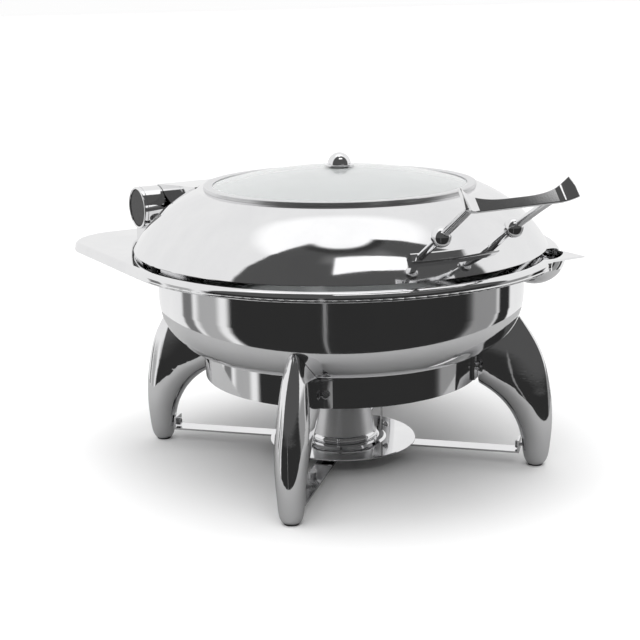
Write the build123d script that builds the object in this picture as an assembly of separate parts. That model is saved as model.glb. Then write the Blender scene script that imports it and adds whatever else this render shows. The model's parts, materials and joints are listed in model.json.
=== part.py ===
from build123d import *
from math import asin, atan2, cos, degrees, radians, sin, sqrt
import os

# Roll top chafer, in millimetres. Everything is built about the bowl's axis, with the floor
# at z = 0, the lid's handle towards -Y and the hinge towards +Y. save() then moves each piece
# so that the origin is the bottom centre of the whole chafer's box.

# ---- driving dimensions ----
DECK_R = 244.0            # round front of the deck, half its width, and its reach to the back
DECK_CORNER_R = 66.0
DECK_TOP = 243.5
DECK_T = 1.5
DECK_EDGE_H = 10.0        # height of the turned-down edge
DECK_EDGE_R = 5.5
HEM_H = 3.0               # rolled hem along the bottom of that edge
HEM_OUT = 0.7             # how far it stands proud of the edge
OPENING_R = 197.0         # hole for the food pan
REST_X = 184.0            # the two straight edges of the spoon rest's pointed flange
REST_Y = -208.0
REST_TIP_R = 7.0
REST_ANGLE = -48.0
REST_CENTRE_R = 218.0     # centre of the spoon rest's pocket
REST_LONG = 38.0          # half length along the rim
REST_WIDE = 33.0          # half width, away from the axis
REST_DEEP = 31.0

WALL_R = 205.0            # outside of the water pan
BOWL_CORNER_R = 61.0
BOWL_BOTTOM = 132.0
SHEET = 1.2               # pressed sheet thickness

FOOD_R = 195.0
FOOD_DEPTH = 65.0
FOOD_RIM_R = 205.0
FOOD_CORNER_R = 34.0

RING_R = 156.0            # support ring
RING_T = 2.0
RING_BOTTOM = 100.8

LID_R = 230.0
LID_EDGE_Z = 247.5
SHOULDER_R = 158.0        # where the dome meets the window ring
SHOULDER_Z = 310.0
DOME_ARC_R = 138.0
WINDOW_R = 151.0          # outside of the window ring
WINDOW_SEAT_R = 147.0     # recess that holds the glass
WINDOW_SEAT_Z = 307.4
WINDOW_HOLE_R = 138.0
WINDOW_RING_IN = 141.0
WINDOW_RING_TOP = 315.2
GASKET_T = 0.8
GLASS_R = 146.0
GLASS_T = 4.0
GLASS_RISE = 19.5
GLASS_SPHERE_R = (GLASS_R**2 + GLASS_RISE**2) / (2 * GLASS_RISE)
GLASS_APEX = WINDOW_SEAT_Z + GASKET_T + GLASS_T + GLASS_RISE

HINGE_Y = 200.0
HINGE_Z = 275.0
BARREL_R = 25.0
BARREL_HALF = 132.5
HOUSING_IN = 133.0        # inner face of a fixed end housing
HOUSING_OUT = 151.0
BRACKET_T = 3.0
SHAFT_R = 6.0
RUNNING = 0.05            # radial clearance of the lid on its shaft

LEG_ANGLES = {"front_left": 225.0, "front_right": 315.0, "rear_right": 45.0, "rear_left": 135.0}
SADDLE_T = 3.0
BAR_W = 20.0
BAR_T = 2.0
BAR_LOW_Z = 12.5
BAR_END = 205.0
BAR_BOLT_Z = 22.0

PLATE_R = 84.0
PLATE_TOP = 19.0
FUEL_BASE_Z = 17.8
FUEL_TOP_Z = 64.0
FUEL_BOTTOM_R = 37.0
FUEL_TOP_R = 31.0
FUEL_HANDLE_ANGLE = -31.0

HANDLE_ROD_X = 43.0
HANDLE_ROD_R = 4.0
HANDLE_BALL_R = 10.0
HANDLE_BAR_Z = 266.0
HANDLE_BAR_ARC = 27.0
HOOD_TOP_FRONT_Z = 307.6
ROD_FOOT = (-217.5, 269.0)     # (y, z) of three points on a rod
ROD_BALL = (-253.0, 295.0)
ROD_TOP = (-304.0, 329.0)
GRIP_HALF = 66.0
GRIP_STRAIGHT = 46.0           # half of the grip's straight length
GRIP_CURL = 52.0               # bend of its ends, in degrees
GRIP_CURL_R = 24.0
GRIP_T = 4.0
GRIP_MIDDLE_W = 10.5
GRIP_END_W = 23.0
GRIP_EDGE_R = 1.0
GRIP_FRONT = (-314.5, 326.5)
GRIP_LEAN = 54.0

BUMPER_ANGLES = (-1.0, 181.0)
BUMPER_R = 226.5

# The handle's grip is the front of the chafer's box, and the deck's back edge is the back.
BOX_FRONT = -322.237
SHIFT = Pos(0, -(BOX_FRONT + DECK_R) / 2, 0)


def save(name, *solids):
    """Write one piece, or a group of identical pieces, as parts/NAME.step."""
    moved = [SHIFT * solid for solid in solids]
    export_step(moved[0] if len(moved) == 1 else Compound(children=moved), f"parts/{name}.step")


def cylinder(radius, z0, z1):
    return Pos(0, 0, z0) * Cylinder(radius, z1 - z0, align=(Align.CENTER, Align.CENTER, Align.MIN))


def tube(outer, inner, z0, z1):
    return cylinder(outer, z0, z1) - cylinder(inner, z0 - 1, z1 + 1)


def box(x0, x1, y0, y1, z0, z1):
    return Pos((x0 + x1) / 2, (y0 + y1) / 2, (z0 + z1) / 2) * Box(x1 - x0, y1 - y0, z1 - z0)


def along_x(shape, x, y=HINGE_Y, z=HINGE_Z):
    """Lay a shape built along +Z onto the hinge line, starting at x and running to +X."""
    return Pos(x, y, z) * Rot(0, 90, 0) * shape


def outward(angle):
    """Local frame of a leg: x points away from the bowl's axis."""
    return Rot(0, 0, angle)


def lathe(*edges):
    """Solid of revolution from the edges of a closed outline drawn as (radius, z) in XZ."""
    return revolve(make_face(Wire(edges)), Axis.Z)


def path(*points):
    return [Edge.make_line((a[0], 0, a[1]), (b[0], 0, b[1])) for a, b in zip(points, points[1:])]


def arc(start, middle, end):
    points = [(p[0], 0, p[1]) for p in (start, middle, end)]
    return [Edge.make_three_point_arc(*points)]


def bowl_outline(radius, bottom, corner, top):
    """Right half of a flat-bottomed bowl from its centre out and up to its rim."""
    centre = (radius - corner, bottom + corner)
    middle = (centre[0] + corner * sin(radians(45)), centre[1] - corner * cos(radians(45)))
    return (
        path((0, top), (0, bottom), (centre[0], bottom))
        + arc((centre[0], bottom), middle, (radius, centre[1]))
        + path((radius, centre[1]), (radius, top), (0, top))
    )


def bowl_solid(radius, bottom, corner, top):
    return lathe(*bowl_outline(radius, bottom, corner, top))


def bolt(head_r, head_h, shank_r, shank):
    """Button-head bolt: the head sits on z = 0 and rises, the shank goes down."""
    head = cylinder(head_r, 0, head_h)
    head = fillet(head.faces().sort_by(Axis.Z)[-1].edges(), head_h * 0.45)
    socket = Pos(0, 0, head_h * 0.5) * extrude(RegularPolygon(head_r * 0.45, 6), head_h)
    return (head - socket) + cylinder(shank_r, -shank, 0.1)


# ---- base: pans and deck ----
def make_water_pan():
    top = DECK_TOP - DECK_T
    inside = bowl_solid(WALL_R - SHEET, BOWL_BOTTOM + SHEET, BOWL_CORNER_R - SHEET, top + 1)
    return bowl_solid(WALL_R, BOWL_BOTTOM, BOWL_CORNER_R, top) - inside


def deck_outline(inset=0.0):
    front = Circle(DECK_R - inset)
    reach = DECK_R - inset
    back = Pos(0, reach / 2, 0) * Rectangle(2 * reach, reach)
    corners = back.vertices().group_by(Axis.Y)[-1]
    back = fillet(corners, DECK_CORNER_R - inset)
    rest = Pos(REST_X / 2 - inset, REST_Y / 2 + inset, 0) * Rectangle(REST_X, -REST_Y)
    tip = rest.vertices().sort_by_distance((REST_X, REST_Y, 0))[0]
    return front + back + fillet([tip], REST_TIP_R)


def rest_pocket(shrink=0.0):
    """Lower half of an ellipsoid, its long way along the rim."""
    ball = Sphere(1.0)
    size = (REST_WIDE - shrink, REST_LONG - shrink, REST_DEEP - shrink)
    half = scale(ball, by=size) & box(-90, 90, -90, 90, -90, 0)
    return Rot(0, 0, REST_ANGLE) * Pos(REST_CENTRE_R, 0, DECK_TOP - DECK_T) * half


def make_deck():
    blank = extrude(deck_outline(HEM_OUT), DECK_EDGE_H)
    blank = fillet(blank.faces().sort_by(Axis.Z)[-1].edges(), DECK_EDGE_R)
    hem = extrude(deck_outline(), HEM_H)
    hem = fillet(hem.edges().group_by(Axis.Z)[-1] + hem.edges().group_by(Axis.Z)[0], HEM_H * 0.4)
    hollow = extrude(deck_outline(HEM_OUT + DECK_T), DECK_EDGE_H - DECK_T)
    hollow = fillet(hollow.faces().sort_by(Axis.Z)[-1].edges(), DECK_EDGE_R - DECK_T)
    deck = Pos(0, 0, DECK_TOP - DECK_EDGE_H) * (blank + hem - hollow)
    deck -= cylinder(OPENING_R, 200, 260)
    under_rest = box(0, 300, -300, 0, DECK_TOP - 2 * DECK_EDGE_H, DECK_TOP - DECK_T)
    deck -= under_rest - cylinder(DECK_R + 1, 200, 260)
    mouth = Rot(0, 0, REST_ANGLE) * Pos(REST_CENTRE_R + 17, 0, DECK_TOP - 5)
    deck -= mouth * extrude(scale(Circle(1.0), by=(12.5, 32, 1)), 10)
    for angle in BUMPER_ANGLES:
        deck -= Rot(0, 0, angle) * Pos(BUMPER_R, 0, 0) * cylinder(2.5, 200, 260)
    return deck


def make_spoon_rest():
    return rest_pocket() - rest_pocket(SHEET) - cylinder(WALL_R + 0.1, 100, 300)


def make_food_pan():
    bottom = DECK_TOP - FOOD_DEPTH
    shell = bowl_solid(FOOD_R, bottom, FOOD_CORNER_R, DECK_TOP + 0.3) - bowl_solid(
        FOOD_R - 1, bottom + 1, FOOD_CORNER_R - 1, DECK_TOP + 5
    )
    rim_low = DECK_TOP + 0.3
    rim = tube(FOOD_RIM_R, FOOD_R - 1, rim_low, rim_low + 1.6)
    return shell + fillet(rim.edges().group_by(Axis.Z)[-1].sort_by(SortBy.RADIUS)[-1], 1.2)


# ---- base: stand ----
def make_support_ring():
    ring = tube(RING_R, RING_R - RING_T, RING_BOTTOM, BOWL_BOTTOM + 10)
    return ring - bowl_solid(WALL_R + 0.02, BOWL_BOTTOM - 0.02, BOWL_CORNER_R, 260)


# (height, inner end, outer end, width) of a leg's oval sections
LEG_SECTIONS = (
    (2.0, 213.5, 231.5, 19.0),
    (7.0, 210.5, 235.0, 24.0),
    (22.0, 207.5, 238.0, 27.5),
    (42.0, 203.5, 239.7, 31.0),
    (60.0, 195.0, 239.8, 34.0),
    (76.0, 182.0, 238.8, 36.5),
    (90.0, 163.0, 237.0, 38.0),
    (104.0, 143.0, 234.6, 38.5),
    (122.0, 134.0, 230.0, 36.0),
    (140.0, 136.0, 222.5, 32.0),
    (155.0, 142.0, 213.5, 26.0),
    (170.0, 150.0, 202.5, 17.0),
    (182.0, 158.0, 193.0, 8.0),
)


def make_leg():
    rings = []
    for height, inner, outer, width in LEG_SECTIONS:
        oval = Ellipse((outer - inner) / 2, width / 2)
        rings.append(Pos((inner + outer) / 2, 0, height) * oval)
    leg = loft(rings)
    leg -= bowl_solid(WALL_R + 0.3, BOWL_BOTTOM - 0.3, BOWL_CORNER_R, 260)
    leg -= cylinder(RING_R + SADDLE_T + 0.2, 50, 200)
    hole = Pos(BAR_END - 1, 0, BAR_BOLT_Z) * Rot(0, 90, 0) * cylinder(2.1, 0, 22)
    return leg - hole


def make_saddle():
    """Curved plate that joins a leg's inner end to the support ring."""
    blank = tube(RING_R + SADDLE_T, RING_R + 0.05, RING_BOTTOM + 1.5, BOWL_BOTTOM - 0.5)
    blank -= bowl_solid(WALL_R + 0.3, BOWL_BOTTOM - 0.3, BOWL_CORNER_R, 260)
    saddle = blank & box(100, 200, -28, 28, 0, 300)
    for side in (-21, 21):
        saddle -= saddle_bolt_place(side) * cylinder(2.1, -20, 20)
    return saddle


def saddle_bolt_place(side):
    turn = degrees(asin(side / (RING_R + SADDLE_T)))
    return Rot(0, 0, turn) * Pos(RING_R + SADDLE_T, 0, 117.0) * Rot(0, 90, 0)


def make_cross_bar(low):
    """Flat bar with a turned-up tab at each end, which is bolted to a leg's inner face."""
    bar = box(-BAR_END, BAR_END, -BAR_W / 2, BAR_W / 2, low, low + BAR_T)
    for side in (-1, 1):
        tab = box(BAR_END - BAR_T, BAR_END, -BAR_W / 2, BAR_W / 2, low, BAR_BOLT_Z + 7)
        bar += tab if side > 0 else Rot(0, 0, 180) * tab
        hole = Pos(BAR_END - 5, 0, BAR_BOLT_Z) * Rot(0, 90, 0) * cylinder(2.1, 0, 9)
        bar -= Rot(0, 0, 90 - 90 * side) * hole
    return bar - cylinder(3.1, 0, 30)


def make_bar_bolt():
    head_seat = Pos(BAR_END - BAR_T, 0, BAR_BOLT_Z) * Rot(0, -90, 0)
    return head_seat * bolt(4.5, 3.2, 2.0, 18)


# ---- base: burner plate and fuel holder ----
def make_burner_plate():
    """Pressed disc: flat centre, raised locating bead and flat margin."""
    t = SHEET
    hole, under, margin = 3.1, FUEL_BASE_Z - t, PLATE_TOP - 1.0
    lower = path((hole, under), (40.0, under), (43.0, PLATE_TOP), (47.0, PLATE_TOP), (49.5, margin - t))
    edge = path((49.5, margin - t), (PLATE_R, margin - t), (PLATE_R, margin - 0.6), (PLATE_R - 0.6, margin))
    upper = path((PLATE_R - 0.6, margin), (50.3, margin), (47.6, PLATE_TOP + t), (42.2, PLATE_TOP + t))
    centre = path((42.2, PLATE_TOP + t), (39.2, FUEL_BASE_Z), (hole, FUEL_BASE_Z), (hole, under))
    return lathe(*lower, *edge, *upper, *centre)


def make_plate_screw():
    return Pos(0, 0, BAR_LOW_Z) * Rot(180, 0, 0) * bolt(6.0, 3.2, 2.95, 4.9)


def make_fuel_holder():
    """Conical cup with a rolled lip and a short straight foot."""
    low = FUEL_BASE_Z
    waist_in = (FUEL_BOTTOM_R - 1.5, low + 11)
    outline = (
        path((0, low), (FUEL_BOTTOM_R, low), (FUEL_BOTTOM_R, low + 11), (FUEL_TOP_R, FUEL_TOP_Z - 3))
        + arc((FUEL_TOP_R, FUEL_TOP_Z - 3), (FUEL_TOP_R + 1.6, FUEL_TOP_Z - 1.5), (FUEL_TOP_R, FUEL_TOP_Z))
        + path((FUEL_TOP_R, FUEL_TOP_Z), (FUEL_TOP_R - 1.5, FUEL_TOP_Z), (FUEL_TOP_R - 1.5, FUEL_TOP_Z - 4))
        + path((FUEL_TOP_R - 1.5, FUEL_TOP_Z - 4), waist_in, (FUEL_BOTTOM_R - 1.5, low + 2))
        + path((FUEL_BOTTOM_R - 1.5, low + 2), (0, low + 2), (0, low))
    )
    cup = lathe(*outline)
    post = fuel_pivot() * cylinder(4.5, FUEL_TOP_Z - 8, FUEL_TOP_Z)
    bore = fuel_pivot() * cylinder(2.0 + RUNNING, FUEL_TOP_Z - 6, FUEL_TOP_Z + 1)
    inside = cylinder(FUEL_TOP_R - 1.5, low + 2, FUEL_TOP_Z + 1)
    return cup + (post - inside) - bore


def make_fuel_foot_ring():
    """Half-round ring fitted round the cup's foot."""
    low, high = FUEL_BASE_Z, FUEL_BASE_Z + 10
    inner, edge = FUEL_BOTTOM_R, FUEL_BOTTOM_R + 1.0
    bulge = arc((edge, low), (edge + 1.6, (low + high) / 2), (edge, high))
    return lathe(*path((inner, low), (edge, low)), *bulge, *path((edge, high), (inner, high), (inner, low)))


def fuel_pivot():
    return Rot(0, 0, FUEL_HANDLE_ANGLE + 180) * Pos(FUEL_TOP_R + 5.5, 0, 0)


def make_fuel_handle():
    """Strip that leaves the cup's lip and hangs beside it, for lifting the cup out."""
    strip = box(FUEL_TOP_R + 0.2, 46, -6, 6, 58.0, 59.6) + box(44.4, 46, -6, 6, 26, 59.6)
    strip = fillet(strip.edges().filter_by(Axis.Y).sort_by_distance((46, 0, 59.6))[0], 3.0)
    knob = Pos(46, 0, 31) * Rot(0, 90, 0) * (cylinder(1.5, -0.1, 2) + Pos(0, 0, 4) * Sphere(3.4))
    lip_gap = lathe(*path((0, 50), (34.2, 50), (32.4, 66), (0, 66), (0, 50)))
    return Rot(0, 0, FUEL_HANDLE_ANGLE) * (strip + knob - lip_gap)


def make_fuel_cover():
    lid = cylinder(FUEL_TOP_R + 1, FUEL_TOP_Z + 0.4, FUEL_TOP_Z + 2.4)
    lid = fillet(lid.faces().sort_by(Axis.Z)[-1].edges(), 1.2)
    ear = fuel_pivot() * cylinder(5.0, FUEL_TOP_Z + 0.4, FUEL_TOP_Z + 2.4)
    neck = Rot(0, 0, FUEL_HANDLE_ANGLE + 180) * box(20, 36.5, -5, 5, FUEL_TOP_Z + 0.4, FUEL_TOP_Z + 2.4)
    return lid + neck + ear - fuel_pivot() * cylinder(2.0 + RUNNING, 0, 90)


def make_fuel_pin():
    shank = cylinder(2.0, FUEL_TOP_Z - 5.9, FUEL_TOP_Z + 2.7)
    head = cylinder(3.6, FUEL_TOP_Z + 2.7, FUEL_TOP_Z + 4.4)
    return fuel_pivot() * (shank + fillet(head.faces().sort_by(Axis.Z)[-1].edges(), 0.8))


def make_fuel_cover_knob():
    stem = cylinder(2.5, FUEL_TOP_Z + 2.4, FUEL_TOP_Z + 7)
    return stem + Pos(0, 0, FUEL_TOP_Z + 11) * Sphere(5.5)


# ---- base: hinge supports ----
def make_bracket():
    """Upright plate with a round head on the hinge line and a foot screwed to the deck."""
    disc = along_x(cylinder(BARREL_R, 0, BRACKET_T), HOUSING_OUT)
    web = box(HOUSING_OUT, HOUSING_OUT + BRACKET_T, HINGE_Y - 19, HINGE_Y + 19, DECK_TOP, HINGE_Z)
    foot_top = DECK_TOP + 2.5
    foot = box(HOUSING_OUT - 18, HOUSING_OUT + BRACKET_T, HINGE_Y - 19, HINGE_Y + 19, DECK_TOP, foot_top)
    bracket = disc + web + foot
    bracket -= along_x(cylinder(SHAFT_R + 0.05, -1, 9), HOUSING_OUT)
    for place in bracket_screw_places():
        bracket -= place * cylinder(2.1, -20, 5)
    return bracket


def bracket_screw_places():
    return [Pos(HOUSING_OUT - 9, HINGE_Y + side, DECK_TOP + 2.5) for side in (-13, 13)]


def make_housing():
    """Fixed tube with a closed inner end, which holds a damper."""
    shell = along_x(cylinder(BARREL_R, 0, HOUSING_OUT - HOUSING_IN), HOUSING_IN)
    shell -= along_x(cylinder(BARREL_R - 2, 0, 30), HOUSING_IN + 2)
    return shell - along_x(cylinder(SHAFT_R + 0.05, -1, 30), HOUSING_IN)


def make_damper():
    return along_x(tube(BARREL_R - 2.3, SHAFT_R + 0.05, 0, 14), HOUSING_IN + 2.5)


def make_bezel():
    ring = tube(BARREL_R, BARREL_R - 3, 0, 6.5)
    ring = fillet(ring.edges().group_by(Axis.Z)[-1], 1.2)
    groove = tube(BARREL_R + 1, BARREL_R - 0.8, 1.4, 2.2)
    return along_x(ring - groove, HOUSING_OUT + BRACKET_T)


def make_cap():
    cap = cylinder(BARREL_R - 3.1, 0, 5.2)
    cap = fillet(cap.faces().sort_by(Axis.Z)[-1].edges(), 1.8)
    return along_x(cap - cylinder(SHAFT_R + 0.3, -1, 1.6), HOUSING_OUT + BRACKET_T)


def make_bumper():
    """Rubber stop pushed through the deck: pad above, bulb below."""
    pad = cylinder(5.0, DECK_TOP, LID_EDGE_Z - 0.7)
    stem = cylinder(2.5, DECK_TOP - DECK_T, DECK_TOP)
    bulb = Pos(0, 0, DECK_TOP - DECK_T - 8.5) * scale(Sphere(4.2), by=(1, 1, 1.3))
    neck = cylinder(3.6, DECK_TOP - DECK_T - 6, DECK_TOP - DECK_T)
    return Pos(BUMPER_R, 0, 0) * (pad + stem + neck + bulb)


# ---- lid ----
def dome_centre():
    """Centre (radius, z) of the arc from the dome's edge to its shoulder."""
    dr, dz = SHOULDER_R - LID_R, SHOULDER_Z - LID_EDGE_Z
    chord = sqrt(dr**2 + dz**2)
    lift = sqrt(DOME_ARC_R**2 - chord**2 / 4)
    return (LID_R + SHOULDER_R) / 2 - lift * dz / chord, (LID_EDGE_Z + SHOULDER_Z) / 2 + lift * dr / chord


def dome_points(offset=0.0):
    """Start, middle and end of the dome's arc, moved inwards by offset."""
    centre = dome_centre()
    radius = DOME_ARC_R - offset
    low = atan2(LID_EDGE_Z - centre[1], LID_R - centre[0])
    high = atan2(SHOULDER_Z - centre[1], SHOULDER_R - centre[0])
    return [
        (centre[0] + radius * cos(angle), centre[1] + radius * sin(angle))
        for angle in (low, (low + high) / 2, high)
    ]


def dome_solid(offset=0.0):
    """Solid under the dome's surface, down to well below the lid's edge."""
    low, middle, high = dome_points(offset)
    base = LID_EDGE_Z - 30
    return lathe(
        *path((0, base), (low[0], base), low), *arc(low, middle, high), *path(high, (0, high[1]), (0, base))
    )


def hinge_gap(extra):
    """Room for the barrel, and for the part of the dome that is left out behind it."""
    half = BARREL_HALF + 0.3
    barrel = along_x(cylinder(BARREL_R + extra, 0, 2 * half), -half)
    return barrel + box(-half, half, HINGE_Y - 23, 260, 230, 301)


def make_dome():
    low, middle, high = dome_points()
    low_in, middle_in, high_in = dome_points(SHEET)
    crest = SHOULDER_Z + 1.2
    seat = WINDOW_SEAT_Z
    outer_step, inner_step = WINDOW_SEAT_R, WINDOW_SEAT_R + SHEET
    outline = (
        path(low_in, (low[0], low[1] - 0.4), low)
        + arc(low, middle, high)
        + path(high, (inner_step + 2, crest), (outer_step, crest), (outer_step, seat), (WINDOW_HOLE_R, seat))
        + path((WINDOW_HOLE_R, seat), (WINDOW_HOLE_R, seat - SHEET), (inner_step, seat - SHEET))
        + path((inner_step, seat - SHEET), (inner_step, crest - SHEET))
        + path((inner_step, crest - SHEET), (inner_step + 2, crest - SHEET), high_in)
        + arc(high_in, middle_in, low_in)
    )
    dome = lathe(*outline) - hinge_gap(0.5)
    for x in (-HANDLE_ROD_X, HANDLE_ROD_X):
        dome -= handle_place(x) * cylinder(2.1, -20, 20)
    return dome


def glass_surface(offset):
    return Pos(0, 0, GLASS_APEX - GLASS_SPHERE_R) * Sphere(GLASS_SPHERE_R - offset)


def make_glass():
    blank = cylinder(GLASS_R, 290, 360)
    glass = (blank & glass_surface(0)) - glass_surface(GLASS_T)
    return glass - cylinder(3.2, 290, 360)


def make_window_ring():
    """Bezel that clamps the glass: it stands on the dome's crest, with a lip over the glass."""
    ring = tube(WINDOW_R, WINDOW_RING_IN, SHOULDER_Z + 1.2, WINDOW_RING_TOP)
    ring = fillet(ring.edges().group_by(Axis.Z)[-1], 0.8)
    return ring - (cylinder(WINDOW_SEAT_R + 0.4, 300, 360) & glass_surface(-0.3))


def make_gasket():
    """Ring under the glass, with a thin wall round its edge."""
    block = tube(GLASS_R + 0.8, WINDOW_HOLE_R, WINDOW_SEAT_Z, WINDOW_SEAT_Z + 2)
    under = cylinder(GLASS_R + 0.05, 290, 360) - glass_surface(GLASS_T)
    return block - under


def make_knob():
    top = GLASS_APEX
    flange = cylinder(16.5, top + 1.2, top + 3.2)
    flange = fillet(flange.edges(), 0.7)
    dome = Pos(0, 0, top + 3.0) * (Sphere(13.0) & cylinder(20, 0, 20))
    return flange + dome - cylinder(3.05, top - 5, top + 10)


def make_knob_washer():
    return tube(10.0, 3.2, GLASS_APEX - 0.2, GLASS_APEX + 1.2) - glass_surface(0)


def make_knob_screw():
    under = GLASS_APEX - GLASS_T - 0.3
    head = cylinder(6.5, under - 3.8, under)
    return fillet(head.edges().group_by(Axis.Z)[0], 1.0) + cylinder(3.0, under - 0.1, GLASS_APEX + 9.5)


def make_barrel():
    half = BARREL_HALF
    barrel = along_x(tube(BARREL_R, BARREL_R - 2, 0, 2 * half), -half)
    for x in (-half, half - 4):
        barrel += along_x(tube(BARREL_R, SHAFT_R + RUNNING, 0, 4), x)
    return barrel


def make_hood():
    """Top plate and two cheeks that join the barrel to the dome, trimmed to both."""
    half = BARREL_HALF
    t = 1.6
    back = (HINGE_Y, HINGE_Z + BARREL_R - 0.2)
    front = (95.0, HOOD_TOP_FRONT_Z)
    profile = Plane.YZ * make_face(
        Polyline(
            (back[0], back[1] + t), (front[0], front[1] + t), (front[0], 262.0),
            (163.0, 283.0), (back[0] - 15, back[1] - 6), (back[0], back[1]), (back[0], back[1] + t),
        )
    )
    inner = Plane.YZ * make_face(
        Polyline(
            (back[0] + 5, back[1] - 0.4), (front[0] - 5, front[1] + 0.3), (front[0] - 5, 240.0),
            (back[0] + 5, 240.0), (back[0] + 5, back[1] - 0.4),
        )
    )
    shell = extrude(profile, half, both=True) - extrude(inner, half - t, both=True)
    shell -= dome_solid(-0.05)
    shell -= cylinder(SHOULDER_R, 200, 400)
    return shell - along_x(cylinder(BARREL_R + 0.02, 0, 400), -200)


# ---- lid handle ----
def handle_foot():
    """Radius of the dome at the base bar's height, and how far its surface leans back there."""
    centre = dome_centre()
    rise = HANDLE_BAR_Z - centre[1]
    return centre[0] + sqrt(DOME_ARC_R**2 - rise**2), degrees(asin(rise / DOME_ARC_R))


def handle_place(x):
    """Frame on the dome's front at the base bar: local z leaves the dome square to it."""
    radius, lean = handle_foot()
    return Rot(0, 0, -90 + degrees(asin(x / radius))) * Pos(radius, 0, HANDLE_BAR_Z) * Rot(0, 90 - lean, 0)


def make_handle_bar():
    """Curved bar lying on the dome, rounded on its outside."""
    radius, lean = handle_foot()
    centre = Plane.XZ * Pos(radius, HANDLE_BAR_Z, 0) * Rot(0, 0, lean)
    section = centre * Pos(2.0, 0, 0) * RectangleRounded(9.0, 11.0, 2.0)
    bar = Rot(0, 0, -90 - HANDLE_BAR_ARC / 2) * revolve(section, Axis.Z, HANDLE_BAR_ARC)
    bar -= dome_solid(-0.05)
    for x in (-HANDLE_ROD_X, HANDLE_ROD_X):
        bar -= handle_place(x) * cylinder(2.1, -20, 4.0)
    return bar


def make_rod(side):
    x = side * HANDLE_ROD_X
    line = Spline(
        (x, ROD_FOOT[0], ROD_FOOT[1]), (x, ROD_BALL[0], ROD_BALL[1]), (x + side * 5, ROD_TOP[0], ROD_TOP[1])
    )
    circle = Plane(origin=line @ 0, z_dir=line % 0) * Circle(HANDLE_ROD_R)
    return sweep(circle, path=line)


def make_ball(side):
    return Pos(side * HANDLE_ROD_X, ROD_BALL[0], ROD_BALL[1]) * Sphere(HANDLE_BALL_R)


def grip_strip():
    """Right half of the grip's bent strip: straight, then curled forward at its end."""
    half = GRIP_T / 2
    curl = radians(GRIP_CURL)

    def bend(radius, angle):
        return GRIP_STRAIGHT + radius * sin(angle), GRIP_CURL_R - radius * cos(angle)

    outer, inner = GRIP_CURL_R + half, GRIP_CURL_R - half
    outline = (
        path((0, -half), (GRIP_STRAIGHT, -half))
        + arc(bend(outer, 0), bend(outer, curl / 2), bend(outer, curl))
        + path(bend(outer, curl), bend(inner, curl))
        + arc(bend(inner, curl), bend(inner, curl / 2), bend(inner, 0))
        + path((GRIP_STRAIGHT, half), (0, half), (0, -half))
    )
    return extrude(make_face(Wire(outline)), 40, both=True)


def make_grip():
    """Flared strip: its straight edge is in front and low, and its ends widen up and back."""
    strip = grip_strip()
    strip += mirror(strip, about=Plane.YZ)
    end, middle = GRIP_HALF, GRIP_MIDDLE_W
    waist = Spline(
        (end - 3, GRIP_END_W), (end * 0.5, middle + 1.5), (0, middle),
        (-end * 0.5, middle + 1.5), (3 - end, GRIP_END_W),
    )
    rest = Polyline((3 - end, GRIP_END_W), (-end, 0), (end, 0), (end - 3, GRIP_END_W))
    grip = strip & extrude(make_face(waist + rest), 60, both=True)
    grip = fillet(grip.edges(), GRIP_EDGE_R)
    return Pos(0, *GRIP_FRONT) * Rot(GRIP_LEAN, 0, 0) * grip


def make_handle_screw(x):
    seat = -SHEET - 0.2
    return handle_place(x) * Pos(0, 0, seat) * Rot(180, 0, 0) * bolt(4.0, 2.6, 2.0, 4.5)


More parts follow.
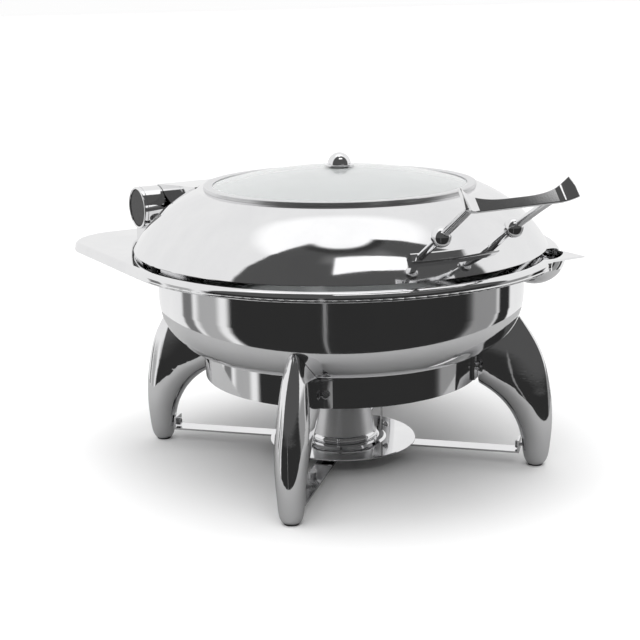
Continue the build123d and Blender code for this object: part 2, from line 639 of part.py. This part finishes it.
def build():
    os.makedirs("parts", exist_ok=True)
    save("water_pan", make_water_pan())
    save("deck", make_deck())
    save("spoon_rest", make_spoon_rest())
    save("food_pan", make_food_pan())

    save("support_ring", make_support_ring())
    leg, saddle, bar_bolt = make_leg(), make_saddle(), make_bar_bolt()
    saddle_bolt = bolt(4.5, 3.4, 2.0, SADDLE_T)
    for name, angle in LEG_ANGLES.items():
        save(f"leg_{name}", outward(angle) * leg)
    angles = LEG_ANGLES.values()
    save("leg_saddles", *[outward(a) * saddle for a in angles])
    bolt_places = [outward(a) * saddle_bolt_place(side) for a in angles for side in (-21, 21)]
    save("saddle_bolts", *[place * saddle_bolt for place in bolt_places])
    save("foot_glides", *[outward(a) * Pos(222.5, 0, 0) * cylinder(8.0, 0, 2.0) for a in angles])
    save("cross_bar_lower", outward(45) * make_cross_bar(BAR_LOW_Z))
    save("cross_bar_upper", outward(135) * make_cross_bar(BAR_LOW_Z + BAR_T))
    save("bar_bolts", *[outward(a) * bar_bolt for a in angles])
    save("burner_plate", make_burner_plate())
    save("plate_screw", make_plate_screw())

    save("fuel_holder", make_fuel_holder())
    save("fuel_foot_ring", make_fuel_foot_ring())
    save("fuel_holder_handle", make_fuel_handle())
    save("fuel_cover", make_fuel_cover())
    save("fuel_cover_knob", make_fuel_cover_knob())
    save("fuel_cover_pin", make_fuel_pin())

    for name, make in (
        ("hinge_bracket", make_bracket),
        ("hinge_housing", make_housing),
        ("hinge_bezel", make_bezel),
        ("hinge_cap", make_cap),
        ("hinge_damper", make_damper),
    ):
        right = make()
        save(f"{name}_right", right)
        save(f"{name}_left", mirror(right, about=Plane.YZ))
    shaft_half = HOUSING_OUT + BRACKET_T + 1.3
    save("hinge_shaft", along_x(cylinder(SHAFT_R, 0, 2 * shaft_half), -shaft_half))
    screw = bolt(4.0, 2.6, 2.0, 2.4)
    right = [place * screw for place in bracket_screw_places()]
    save("bracket_screws", *right, *[mirror(s, about=Plane.YZ) for s in right])
    save("lid_bumpers", *[Rot(0, 0, a) * make_bumper() for a in BUMPER_ANGLES])

    save("lid_dome", make_dome())
    save("window_ring", make_window_ring())
    save("window_gasket", make_gasket())
    save("window_glass", make_glass())
    save("window_knob", make_knob())
    save("knob_washer", make_knob_washer())
    save("knob_screw", make_knob_screw())
    save("hinge_barrel", make_barrel())
    save("hinge_hood", make_hood())
    bar, grip = make_handle_bar(), make_grip()
    save("handle_bar", bar)
    save("handle_rods", *[make_rod(side) - make_ball(side) - bar - grip for side in (-1, 1)])
    save("handle_balls", *[make_ball(side) for side in (-1, 1)])
    save("handle_grip", grip)
    save("handle_screws", *[make_handle_screw(x) for x in (-HANDLE_ROD_X, HANDLE_ROD_X)])


build()
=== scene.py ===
import json
from math import cos, pi, radians, sin

import bpy
from mathutils import Matrix, Vector


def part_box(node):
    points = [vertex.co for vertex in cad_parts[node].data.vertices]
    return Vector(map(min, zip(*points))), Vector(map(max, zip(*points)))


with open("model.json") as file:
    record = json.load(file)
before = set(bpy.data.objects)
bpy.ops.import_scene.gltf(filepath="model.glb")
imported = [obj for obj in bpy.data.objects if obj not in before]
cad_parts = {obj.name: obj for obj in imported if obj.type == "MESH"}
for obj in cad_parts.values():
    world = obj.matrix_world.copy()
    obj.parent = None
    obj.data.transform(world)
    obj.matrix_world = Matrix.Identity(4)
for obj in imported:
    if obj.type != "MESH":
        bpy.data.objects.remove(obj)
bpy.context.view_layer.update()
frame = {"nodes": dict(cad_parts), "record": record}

# Looks of the roll top chafer. Lengths are in metres.
PAN_LOW, PAN_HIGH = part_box("water_pan")
BOWL = (PAN_LOW + PAN_HIGH) / 2


# ---- node helpers ----
def new_material(name):
    material = bpy.data.materials.new(name)
    material.use_nodes = True
    tree = material.node_tree
    return material, tree, tree.nodes["Principled BSDF"]


def link(tree, source, target):
    tree.links.new(source, target)


def noise(tree, scale, detail=3.0, stretch=(1, 1, 1), roughness=0.5):
    """Noise over the object's own coordinates, stretched along chosen axes."""
    coords = tree.nodes.new("ShaderNodeTexCoord")
    mapping = tree.nodes.new("ShaderNodeMapping")
    mapping.inputs["Scale"].default_value = stretch
    link(tree, coords.outputs["Object"], mapping.inputs["Vector"])
    texture = tree.nodes.new("ShaderNodeTexNoise")
    texture.inputs["Scale"].default_value = scale
    texture.inputs["Detail"].default_value = detail
    texture.inputs["Roughness"].default_value = roughness
    link(tree, mapping.outputs["Vector"], texture.inputs["Vector"])
    return texture.outputs["Fac"]


def remap(tree, value, low, high, to_low, to_high, smooth=False):
    node = tree.nodes.new("ShaderNodeMapRange")
    node.interpolation_type = "SMOOTHSTEP" if smooth else "LINEAR"
    node.inputs["From Min"].default_value = low
    node.inputs["From Max"].default_value = high
    node.inputs["To Min"].default_value = to_low
    node.inputs["To Max"].default_value = to_high
    link(tree, value, node.inputs["Value"])
    return node.outputs["Result"]


def math(tree, operation, a, b=None):
    node = tree.nodes.new("ShaderNodeMath")
    node.operation = operation
    for socket, value in zip(node.inputs, (a, b)):
        if value is None:
            continue
        if isinstance(value, (int, float)):
            socket.default_value = value
        else:
            link(tree, value, socket)
    return node.outputs["Value"]


def mix(tree, factor, a, b):
    node = tree.nodes.new("ShaderNodeMix")
    node.data_type = "RGBA"
    link(tree, factor, node.inputs["Factor"])
    for socket, value in ((node.inputs["A"], a), (node.inputs["B"], b)):
        if isinstance(value, tuple):
            socket.default_value = value
        else:
            link(tree, value, socket)
    return node.outputs["Result"]


def grey(value):
    return (value, value, value, 1.0)


def bump(tree, shader, heights):
    """Chain of bumps from (height, distance in metres, strength)."""
    normal = None
    for height, distance, strength in heights:
        node = tree.nodes.new("ShaderNodeBump")
        node.inputs["Distance"].default_value = distance
        node.inputs["Strength"].default_value = strength
        link(tree, height, node.inputs["Height"])
        if normal is not None:
            link(tree, normal, node.inputs["Normal"])
        normal = node.outputs["Normal"]
    link(tree, normal, shader.inputs["Normal"])


# ---- materials ----
def polished_steel():
    """Mirror finish: faint smears in the gloss, and the slow waves of pressed sheet."""
    material, tree, shader = new_material("polished_steel")
    shader.inputs["Metallic"].default_value = 1.0
    smears = noise(tree, 14, 5, (1, 1, 0.4), 0.6)
    tint = remap(tree, smears, 0.35, 0.7, 0.0, 1.0)
    link(tree, mix(tree, tint, (0.86, 0.86, 0.865, 1), (0.80, 0.80, 0.81, 1)), shader.inputs["Base Color"])
    link(tree, remap(tree, smears, 0.35, 0.75, 0.035, 0.085), shader.inputs["Roughness"])
    waves = noise(tree, 7, 1)
    grain = noise(tree, 900, 2, (1, 1, 0.15))
    bump(tree, shader, [(waves, 0.004, 0.02), (grain, 0.0002, 0.03)])
    return material


def satin_steel():
    material, tree, shader = new_material("satin_steel")
    shader.inputs["Metallic"].default_value = 1.0
    lines = noise(tree, 160, 3, (1, 1, 14))
    patches = noise(tree, 9, 4)
    link(tree, mix(tree, patches, (0.86, 0.86, 0.865, 1), (0.76, 0.76, 0.77, 1)), shader.inputs["Base Color"])
    link(tree, remap(tree, lines, 0.3, 0.7, 0.30, 0.42), shader.inputs["Roughness"])
    bump(tree, shader, [(lines, 0.0001, 0.08)])
    return material


def fastener_steel():
    material, tree, shader = new_material("fastener_steel")
    shader.inputs["Metallic"].default_value = 1.0
    patches = noise(tree, 160, 4)
    link(tree, mix(tree, patches, (0.60, 0.60, 0.61, 1), (0.48, 0.48, 0.49, 1)), shader.inputs["Base Color"])
    link(tree, remap(tree, patches, 0.3, 0.7, 0.18, 0.36), shader.inputs["Roughness"])
    bump(tree, shader, [(patches, 0.0003, 0.2)])
    return material


def dark_material(name, low, high, rough_low, rough_high, depth):
    material, tree, shader = new_material(name)
    patches = noise(tree, 220, 4)
    link(tree, mix(tree, patches, grey(low), grey(high)), shader.inputs["Base Color"])
    link(tree, remap(tree, patches, 0.3, 0.7, rough_low, rough_high), shader.inputs["Roughness"])
    shader.inputs["Specular IOR Level"].default_value = 0.2
    bump(tree, shader, [(patches, 0.0004, depth)])
    return material


def tempered_glass():
    """Clear glass under a pale film, as over steaming food, with faint smears."""
    material, tree, shader = new_material("tempered_glass")
    shader.inputs["Transmission Weight"].default_value = 0.45
    shader.inputs["IOR"].default_value = 1.5
    smears = noise(tree, 22, 5, (1, 1, 1), 0.6)
    link(tree, mix(tree, smears, (0.80, 0.82, 0.82, 1), (0.74, 0.76, 0.76, 1)), shader.inputs["Base Color"])
    link(tree, remap(tree, smears, 0.35, 0.75, 0.01, 0.05), shader.inputs["Roughness"])
    bump(tree, shader, [(noise(tree, 9, 1), 0.002, 0.02)])
    return material


MATERIALS = {
    "polished_steel": polished_steel(),
    "satin_steel": satin_steel(),
    "fastener_steel": fastener_steel(),
    "rubber": dark_material("rubber", 0.012, 0.03, 0.55, 0.75, 0.3),
    "black_plastic": dark_material("black_plastic", 0.008, 0.016, 0.12, 0.22, 0.05),
    "glass": tempered_glass(),
}

for row in frame["record"]["subparts"]:
    node = frame["nodes"][row["node"]]
    node.data.materials.clear()
    node.data.materials.append(MATERIALS[row["material_slot"]])


# ---- studio ----
def window(tree, value, low, high, soft):
    """1 between low and high, falling to 0 over soft on both sides."""
    rise = remap(tree, value, low - soft, low + soft, 0.0, 1.0, smooth=True)
    fall = remap(tree, value, high - soft, high + soft, 1.0, 0.0, smooth=True)
    return math(tree, "MULTIPLY", rise, fall)


def patch(tree, turn, tilt, shade, behind, bearings, heights, soft):
    """Lay one patch of shade over the studio, between two bearings and two heights."""
    across, up = window(tree, turn, *bearings, soft[0]), window(tree, tilt, *heights, soft[1])
    return mix(tree, math(tree, "MULTIPLY", across, up), behind, grey(shade))


# Plain panels around the chafer: (brightness, bearings, heights, softness of both)
PANELS = (
    (0.09, (-100, 60), (-60, 79.5), (1.5, 1.5)),    # dark side of the room, behind the camera
    (0.17, (-50, 25), (65, 72), (8.0, 3.0)),
    (0.04, (-92, 55), (75, 79), (3.0, 1.5)),
    (0.03, (-104, 52), (-95, -2), (3.0, 3.0)),      # low dark screen
    (0.28, (-42, -40), (-95, -2), (0.8, 3.0)),      # slit in that screen
    (0.30, (56, 80), (-95, -2), (3.0, 3.0)),        # grey screen and black flag on the right
    (0.03, (82, 96), (-95, -2), (2.0, 3.0)),
    (0.45, (-130, -112), (-95, -2), (3.0, 3.0)),    # grey screen and black flag on the left
    (0.20, (-146, -135), (-95, -2), (2.0, 3.0)),
)
WALLS, CEILING = 0.92, 1.2          # brightness of the rest of the room
CEILING_EDGE = (58.0, 66.0)


def studio_world():
    """White room with a dark side towards the camera.

    Bearings are in degrees from the handle's side (-Y), positive towards +X; heights are above the horizon.
    """
    world = bpy.data.worlds.new("studio")
    bpy.context.scene.world = world
    world.use_nodes = True
    tree = world.node_tree
    coords = tree.nodes.new("ShaderNodeTexCoord")
    split = tree.nodes.new("ShaderNodeSeparateXYZ")
    link(tree, coords.outputs["Generated"], split.inputs["Vector"])
    x, y, z = split.outputs
    turn = math(tree, "DEGREES", math(tree, "ARCTAN2", x, math(tree, "MULTIPLY", y, -1.0)))
    tilt = math(tree, "DEGREES", math(tree, "ARCSINE", z))
    room = mix(tree, remap(tree, tilt, *CEILING_EDGE, 0.0, 1.0, smooth=True), grey(WALLS), grey(CEILING))
    for shade, bearings, heights, soft in PANELS:
        room = patch(tree, turn, tilt, shade, room, bearings, heights, soft)
    background = tree.nodes["Background"]
    link(tree, room, background.inputs["Color"])
    background.inputs["Strength"].default_value = 1.0


def stage_mesh(name, corners, material):
    mesh = bpy.data.meshes.new(name)
    mesh.from_pydata(corners, [], [tuple(range(len(corners)))])
    piece = bpy.data.objects.new(name, mesh)
    bpy.context.scene.collection.objects.link(piece)
    mesh.materials.append(material)
    return piece


def only_seen_by(piece, *kinds):
    """Keep a stage piece out of every kind of ray but the named ones."""
    for kind in ("camera", "diffuse", "glossy", "transmission", "shadow", "volume_scatter"):
        setattr(piece, f"visible_{kind}", kind in kinds)


def paper(name, level):
    material, tree, shader = new_material(name)
    shader.inputs["Base Color"].default_value = grey(level)
    shader.inputs["Roughness"].default_value = 0.9
    return material


def glow(name, strength):
    material, tree, shader = new_material(name)
    shader.inputs["Base Color"].default_value = grey(0.0)
    shader.inputs["Emission Color"].default_value = grey(1.0)
    shader.inputs["Emission Strength"].default_value = strength
    return material


FLOOR_REACH = 40.0
FLOOR_PAPER = 0.93
BACKDROP_LOW, BACKDROP_HIGH = -1.0, 8.0
BACKDROP_GLOW = 0.98
NEAR_FLOOR_R = 0.54                 # the piece of floor that the steel mirrors
NEAR_FLOOR_SHIFT = (0.114, 0.188)   # away from the camera's side of the chafer
NEAR_FLOOR_Z = 0.0002
# painted shade: the near floor is much darker than the floor paper, standing in for the floor shaded by the
# chafer where the steel mirrors it
NEAR_FLOOR_PAINTED_SHADE = 0.38
NEAR_FLOOR_SIDES = 96
SOFT_BOX = ((-36.5, 51.0), (14.0, 48.0), (24.0, 58.0), (-36.5, 66.5))   # (bearing, height) of its corners
SOFT_BOX_DISTANCE = 3.0
SOFT_BOX_GLOW = 1.25
LID_MIDDLE_Z = 0.28
SUN_STRENGTH = 2.7
SUN_WIDTH = radians(70)
SUN_TILT = (radians(12), radians(-10), 0)


def towards(bearing, height, distance):
    """Point at a bearing and a height above the horizon, in degrees, from the middle of the lid."""
    flat = distance * cos(radians(height))
    x, y = flat * sin(radians(bearing)), -flat * cos(radians(bearing))
    return (BOWL.x + x, BOWL.y + y, LID_MIDDLE_Z + distance * sin(radians(height)))


def floor_and_backdrop():
    """Pale floor, and a white backdrop that only the camera sees above its far edges."""
    reach, wall = FLOOR_REACH, FLOOR_REACH - 1
    square = [(-reach, -reach, 0), (reach, -reach, 0), (reach, reach, 0), (-reach, reach, 0)]
    floor = stage_mesh("floor", square, paper("floor_paper", FLOOR_PAPER))
    floor.visible_glossy = False
    low, high = BACKDROP_LOW, BACKDROP_HIGH
    back = [(-reach, wall, low), (reach, wall, low), (reach, wall, high), (-reach, wall, high)]
    side = [(-wall, -reach, low), (-wall, reach, low), (-wall, reach, high), (-wall, -reach, high)]
    for name, corners in (("backdrop", back), ("backdrop_side", side)):
        only_seen_by(stage_mesh(name, corners, glow(name, BACKDROP_GLOW)), "camera")


def mirrored_pieces():
    """The near floor, darker than the floor paper as painted shade of the floor around the chafer, and the
    soft box, which are only seen mirrored in the steel.
    """
    angles = [2 * pi * k / NEAR_FLOOR_SIDES for k in range(NEAR_FLOOR_SIDES)]
    x, y = BOWL.x + NEAR_FLOOR_SHIFT[0], BOWL.y + NEAR_FLOOR_SHIFT[1]
    disc = [(x + NEAR_FLOOR_R * cos(a), y + NEAR_FLOOR_R * sin(a), NEAR_FLOOR_Z) for a in angles]
    # painted shade: this disc's darker paper stands in for the shaded floor around the chafer
    only_seen_by(stage_mesh("floor_near", disc, paper("floor_painted_shade", NEAR_FLOOR_PAINTED_SHADE)), "glossy")
    card = [towards(bearing, height, SOFT_BOX_DISTANCE) for bearing, height in SOFT_BOX]
    only_seen_by(stage_mesh("soft_box", card, glow("soft_box", SOFT_BOX_GLOW)), "glossy")


def sun():
    data = bpy.data.lights.new("sun", "SUN")
    data.energy = SUN_STRENGTH
    data.angle = SUN_WIDTH
    lamp = bpy.data.objects.new("sun", data)
    lamp.rotation_euler = SUN_TILT
    lamp.visible_glossy = False
    bpy.context.scene.collection.objects.link(lamp)


CAMERA_BEARING = radians(-31.25)
CAMERA_DISTANCE = 1.4393
CAMERA_HEIGHT = 0.5171
CAMERA_HEADING = radians(-30.28)
CAMERA_PITCH = radians(14.05)
CAMERA_ROLL = radians(-1.01)
CAMERA_LENS = 73.2


def camera():
    data = bpy.data.cameras.new("camera")
    data.lens = CAMERA_LENS
    data.sensor_width = 36.0
    camera_object = bpy.data.objects.new("camera", data)
    bpy.context.scene.collection.objects.link(camera_object)
    across, back = sin(CAMERA_BEARING), -cos(CAMERA_BEARING)
    spot = Vector((BOWL.x + CAMERA_DISTANCE * across, BOWL.y + CAMERA_DISTANCE * back, CAMERA_HEIGHT))
    aim = (
        Matrix.Rotation(CAMERA_HEADING, 4, "Z")
        @ Matrix.Rotation(pi / 2 - CAMERA_PITCH, 4, "X")
        @ Matrix.Rotation(CAMERA_ROLL, 4, "Z")
    )
    camera_object.matrix_world = Matrix.Translation(spot) @ aim
    bpy.context.scene.camera = camera_object


studio_world()
floor_and_backdrop()
mirrored_pieces()
sun()
camera()
bpy.context.scene.view_settings.view_transform = "Standard"
